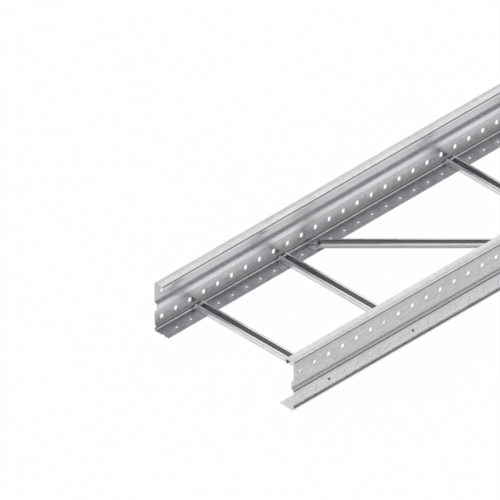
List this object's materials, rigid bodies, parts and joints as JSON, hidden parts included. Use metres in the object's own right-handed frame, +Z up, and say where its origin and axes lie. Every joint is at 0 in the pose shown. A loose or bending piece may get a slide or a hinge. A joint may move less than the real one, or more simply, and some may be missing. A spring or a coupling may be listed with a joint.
{
  "type": "cable ladder section",
  "caption": "Long-span galvanised cable ladder with deep perforated side rails, C-rail rungs resting on the bottom flanges and slanting braces.",
  "frame": {"origin": "middle of the ladder's underside: halfway along, halfway across, at the bottom flanges' lower face", "axes": "+X along the ladder, away from the end shown in the picture; +Y across it to the left rail; +Z up"},
  "size_m": [3, 0.5, 0.15],
  "materials": {
    "galvanised_rail": "hot-dip galvanised, softly mottled",
    "galvanised_rung": "hot-dip galvanised, softly mottled",
    "galvanised_brace": "hot-dip galvanised, softly mottled"
  },
  "bodies": {
    "root": {"side_rail_left": "galvanised_rail", "side_rail_right": "galvanised_rail", "rung_1": "galvanised_rung", "rung_2": "galvanised_rung", "rung_3": "galvanised_rung", "rung_4": "galvanised_rung", "rung_5": "galvanised_rung", "rung_6": "galvanised_rung", "rung_7": "galvanised_rung", "rung_8": "galvanised_rung", "brace_1": "galvanised_brace", "brace_2": "galvanised_brace"}
  },
  "joints": []
}
